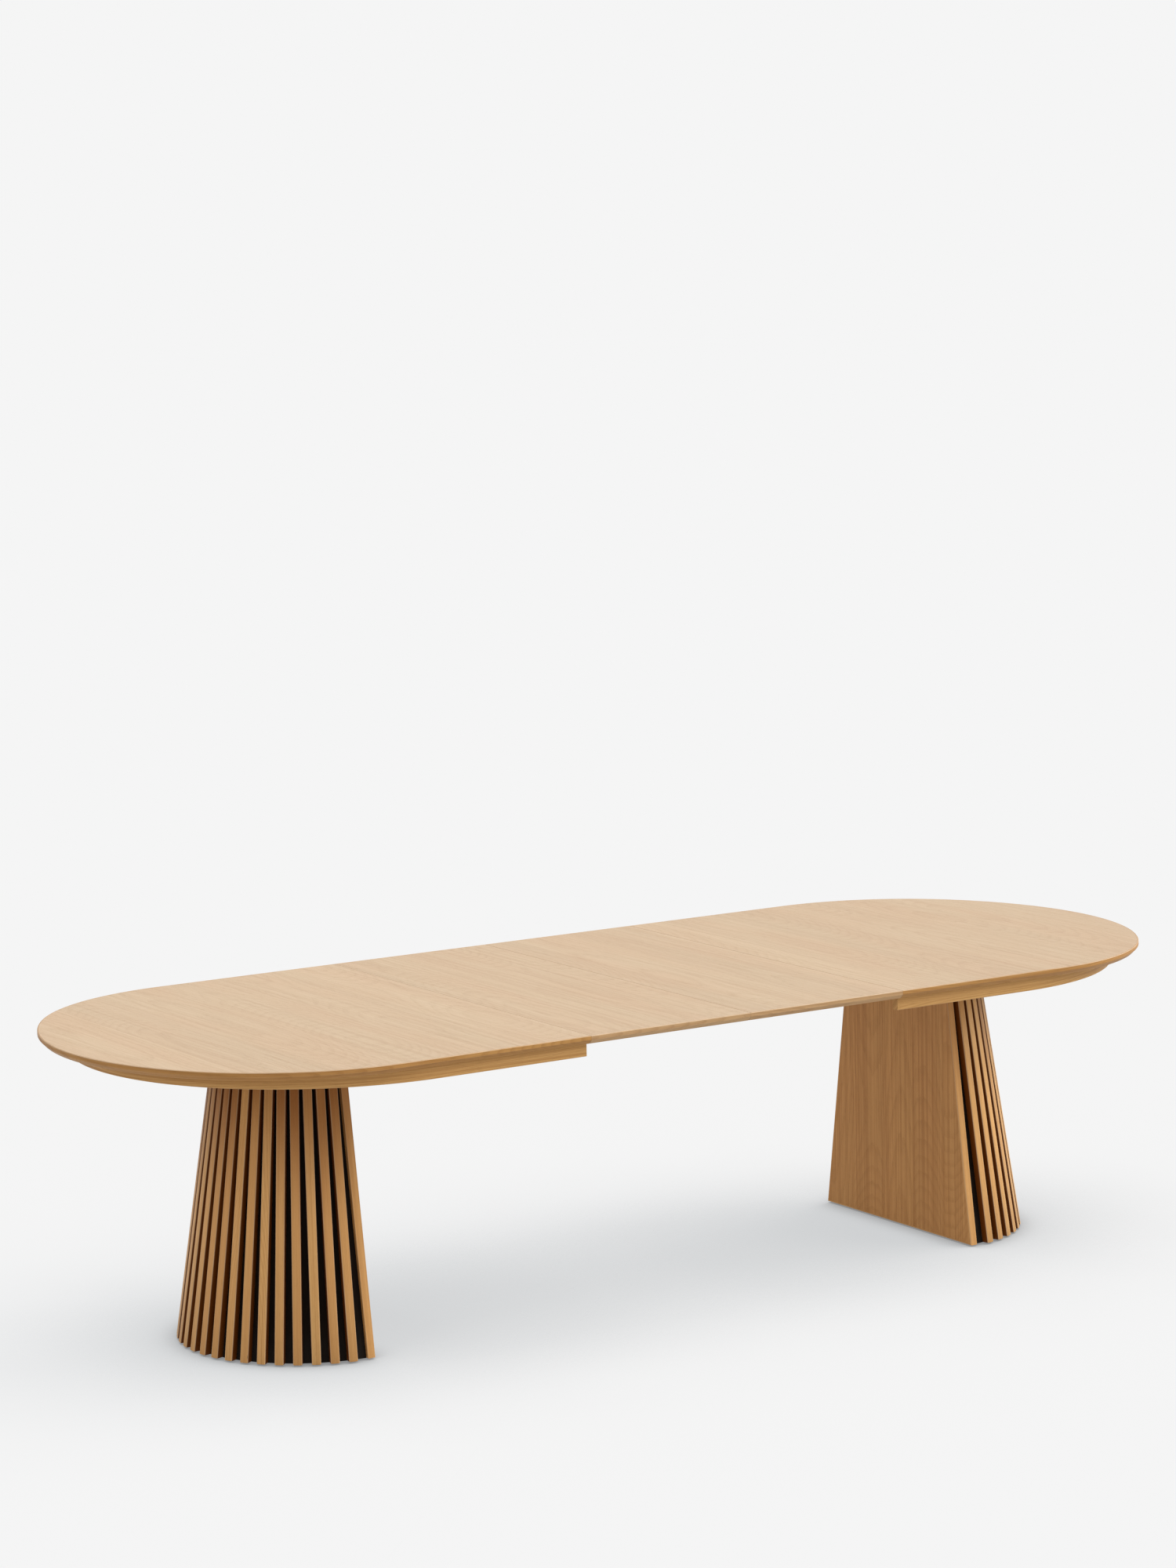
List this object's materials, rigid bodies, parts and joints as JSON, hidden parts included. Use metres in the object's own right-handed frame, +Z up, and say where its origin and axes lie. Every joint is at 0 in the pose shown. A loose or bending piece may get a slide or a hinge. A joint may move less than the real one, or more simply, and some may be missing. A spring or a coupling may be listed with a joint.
{
  "type": "extendable dining table",
  "caption": "Oval dining table on half-round slatted pedestals, opening on geared slides for loose leaves.",
  "frame": {"origin": "on the floor, under the middle of the table", "axes": "+X along the table, +Y across it to the back, +Z up"},
  "size_m": [3, 1.2, 0.76],
  "materials": {
    "top_oak": "satin lacquered oak veneer",
    "apron_oak": "satin lacquered oak",
    "panel_oak": "satin lacquered oak veneer, darker",
    "slat_oak": "satin lacquered solid oak",
    "black_core": "matt black stained bent plywood",
    "beech": "waxed beech",
    "birch_plywood": "raw birch plywood",
    "steel": "zinc plated",
    "nylon": "matt black",
    "felt": "pressed felt"
  },
  "bodies": {
    "centre_frame": {"front_centre_rail": "beech", "rear_centre_rail": "beech", "cross_bars": "beech", "leaf_rest_pads": "felt", "centre_frame_screws": "steel", "rack_stops": "steel", "pinion_axle": "steel", "axle_clip": "nylon"},
    "sync_pinion": {"sync_pinion": "nylon"},
    "left_half": {"left_top": "top_oak", "left_apron": "apron_oak", "left_apron_blocks": "beech", "left_front_runner": "beech", "left_rear_runner": "beech", "left_rack": "steel", "left_mounting_plate": "birch_plywood", "left_plate_screws": "steel", "left_pedestal_bolts": "steel", "left_pedestal_top": "birch_plywood", "left_pedestal_rib": "birch_plywood", "left_pedestal_base": "birch_plywood", "left_core_shell": "black_core", "left_inner_panel": "panel_oak", "left_slats": "slat_oak", "left_glides": "nylon", "left_edge_pegs": "beech", "left_lock_body": "steel"},
    "left_lock": {"left_lock_lever": "steel"},
    "right_half": {"right_top": "top_oak", "right_apron": "apron_oak", "right_apron_blocks": "beech", "right_front_runner": "beech", "right_rear_runner": "beech", "right_rack": "steel", "right_mounting_plate": "birch_plywood", "right_plate_screws": "steel", "right_pedestal_bolts": "steel", "right_pedestal_top": "birch_plywood", "right_pedestal_rib": "birch_plywood", "right_pedestal_base": "birch_plywood", "right_core_shell": "black_core", "right_inner_panel": "panel_oak", "right_slats": "slat_oak", "right_glides": "nylon", "right_lock_keeper": "steel"},
    "left_leaf": {"left_leaf": "top_oak", "left_leaf_cleats": "beech", "left_leaf_pegs": "beech", "left_leaf_keeper": "steel", "centre_lock_body": "steel"},
    "centre_lock": {"centre_lock_lever": "steel"},
    "right_leaf": {"right_leaf": "top_oak", "right_leaf_cleats": "beech", "right_leaf_pegs": "beech", "right_leaf_keeper": "steel", "right_lock_body": "steel"},
    "right_lock": {"right_lock_lever": "steel"}
  },
  "joints": [
    {"name": "left_slide", "type": "slide", "parent": "centre_frame", "child": "left_half", "axis": [-1, 0, 0], "range_m": [-0.45, 0]},
    {"name": "right_slide", "type": "slide", "parent": "centre_frame", "child": "right_half", "axis": [1, 0, 0], "range_m": [-0.45, 0]},
    {"name": "pinion_turn", "type": "hinge", "parent": "centre_frame", "child": "sync_pinion", "pos_m": [0, 0, 0.727], "axis": [0, 0, 1], "range_deg": [-860, 0]},
    {"name": "left_leaf_lift", "type": "slide", "parent": "centre_frame", "child": "left_leaf", "axis": [0, 0, 1], "range_m": [0, 0.6]},
    {"name": "right_leaf_lift", "type": "slide", "parent": "centre_frame", "child": "right_leaf", "axis": [0, 0, 1], "range_m": [0, 0.6]},
    {"name": "left_lock_turn", "type": "hinge", "parent": "left_half", "child": "left_lock", "pos_m": [-0.475, -0.14, 0.731], "axis": [0, 0, 1], "range_deg": [0, 80]},
    {"name": "centre_lock_turn", "type": "hinge", "parent": "left_leaf", "child": "centre_lock", "pos_m": [-0.025, -0.14, 0.731], "axis": [0, 0, 1], "range_deg": [0, 80]},
    {"name": "right_lock_turn", "type": "hinge", "parent": "right_leaf", "child": "right_lock", "pos_m": [0.425, -0.14, 0.731], "axis": [0, 0, 1], "range_deg": [0, 80]}
  ],
  "couplings": [
    {"joint": "right_slide", "follows": "left_slide", "ratio": 1},
    {"joint": "pinion_turn", "follows": "left_slide", "rad_per_m": 33.333},
    {"joint": "left_leaf_lift", "follows": "left_slide", "ratio": -1.3333},
    {"joint": "right_leaf_lift", "follows": "left_slide", "ratio": -1.3333}
  ]
}
